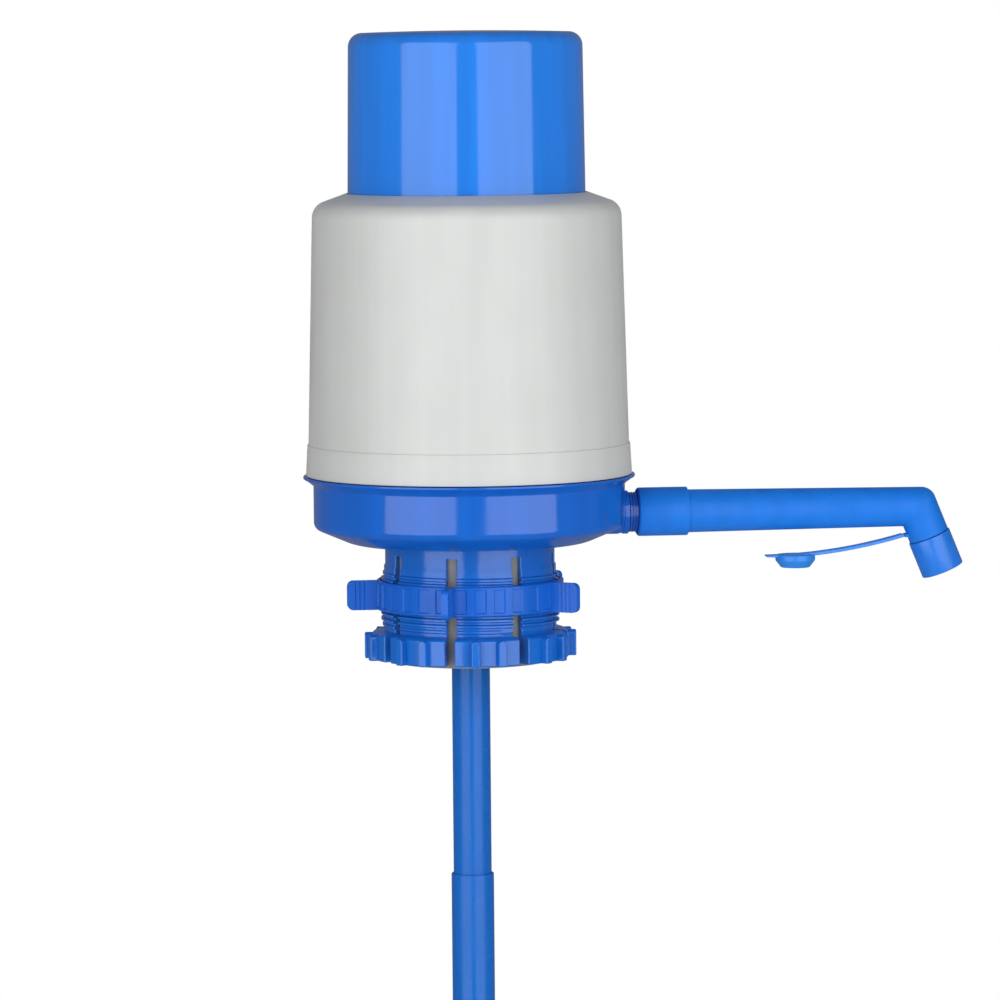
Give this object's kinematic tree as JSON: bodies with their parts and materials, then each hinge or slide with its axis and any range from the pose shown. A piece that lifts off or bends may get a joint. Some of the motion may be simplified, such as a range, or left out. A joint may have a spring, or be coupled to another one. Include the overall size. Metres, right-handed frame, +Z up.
{
  "type": "water jug hand pump",
  "caption": "Hand-press pump that clamps on a water jug's neck and lifts water through a dip tube to a swivelling spout",
  "frame": {"origin": "on the pump's axis, at the underside of the rim gasket, which sits on the jug's rim", "axes": "+Z up along the pump's axis, +X along the spout, +Y to the left of the spout seen from the pump"},
  "size_m": [0.2392, 0.1188, 0.6146],
  "materials": {
    "cap_plastic": "smooth moulded, satin gloss",
    "barrel_plastic": "smooth moulded white",
    "base_plastic": "smooth moulded",
    "collet_plastic": "smooth moulded",
    "ring_plastic": "smooth moulded with shallow flutes",
    "spout_plastic": "smooth moulded, slightly soft",
    "strap_plastic": "soft moulded",
    "nipple_plastic": "smooth moulded",
    "tube_plastic": "extruded, slightly waxy",
    "inner_plastic": "plain moulded",
    "bellows_rubber": "soft moulded",
    "neck_rubber": "soft grey",
    "seal_rubber": "black",
    "spring_steel": "drawn wire",
    "screw_steel": "zinc plated"
  },
  "bodies": {
    "pump_body": {"base": "base_plastic", "barrel": "barrel_plastic", "neck_collet": "collet_plastic", "water_elbow": "nipple_plastic", "dip_tube_upper": "tube_plastic", "dip_tube_middle": "tube_plastic", "dip_tube_lower": "tube_plastic", "bellows": "bellows_rubber", "return_spring": "spring_steel", "valve_deck": "inner_plastic", "outlet_pin": "inner_plastic", "deck_seal": "seal_rubber", "rim_gasket": "neck_rubber", "neck_sleeve": "neck_rubber", "spout_o_ring_1": "seal_rubber", "spout_o_ring_2": "seal_rubber", "deck_screw_1": "screw_steel", "deck_screw_2": "screw_steel", "deck_screw_3": "screw_steel", "deck_screw_4": "screw_steel", "collet_screw_1": "screw_steel", "collet_screw_2": "screw_steel", "collet_screw_3": "screw_steel", "collet_screw_4": "screw_steel"},
    "press_cap": {"press_cap": "cap_plastic", "bellows_top_plate": "inner_plastic", "inlet_pin": "inner_plastic", "plate_screw_1": "screw_steel", "plate_screw_2": "screw_steel", "plate_screw_3": "screw_steel", "plate_screw_4": "screw_steel"},
    "inlet_valve": {"inlet_valve": "seal_rubber"},
    "outlet_valve": {"outlet_valve": "seal_rubber"},
    "clamp_ring": {"clamp_ring": "ring_plastic"},
    "spout": {"spout": "spout_plastic", "nozzle_sleeve": "spout_plastic"},
    "dust_cap": {"dust_cap": "strap_plastic"}
  },
  "joints": [
    {"name": "press", "type": "slide", "parent": "pump_body", "child": "press_cap", "axis": [0, 0, -1], "range_m": [0, 0.045], "stiffness_N_per_m": 350, "springref_m": -0.012, "deforming": ["bellows", "return_spring"]},
    {"name": "inlet_valve_lift", "type": "slide", "parent": "press_cap", "child": "inlet_valve", "axis": [0, 0, -1], "range_m": [0, 0.0012], "stiffness_N_per_m": 30, "springref_m": -0.0006},
    {"name": "outlet_valve_lift", "type": "slide", "parent": "pump_body", "child": "outlet_valve", "axis": [0, 0, -1], "range_m": [0, 0.0012], "stiffness_N_per_m": 30, "springref_m": -0.0006},
    {"name": "clamp_ring_turn", "type": "hinge", "parent": "pump_body", "child": "clamp_ring", "pos_m": [0, 0, -0.0167], "axis": [0, 0, 1], "range_deg": [-1080, 540]},
    {"name": "spout_turn", "type": "hinge", "parent": "pump_body", "child": "spout", "pos_m": [0.0605, 0, 0.0114], "axis": [1, 0, 0], "continuous": true},
    {"name": "dust_cap_swing", "type": "hinge", "parent": "spout", "child": "dust_cap", "pos_m": [0.1576, 0, 0.00105], "axis": [0, 1, 0], "range_deg": [-70, 5], "stiffness_Nm_per_rad": 0.02, "springref_deg": 2.29}
  ]
}
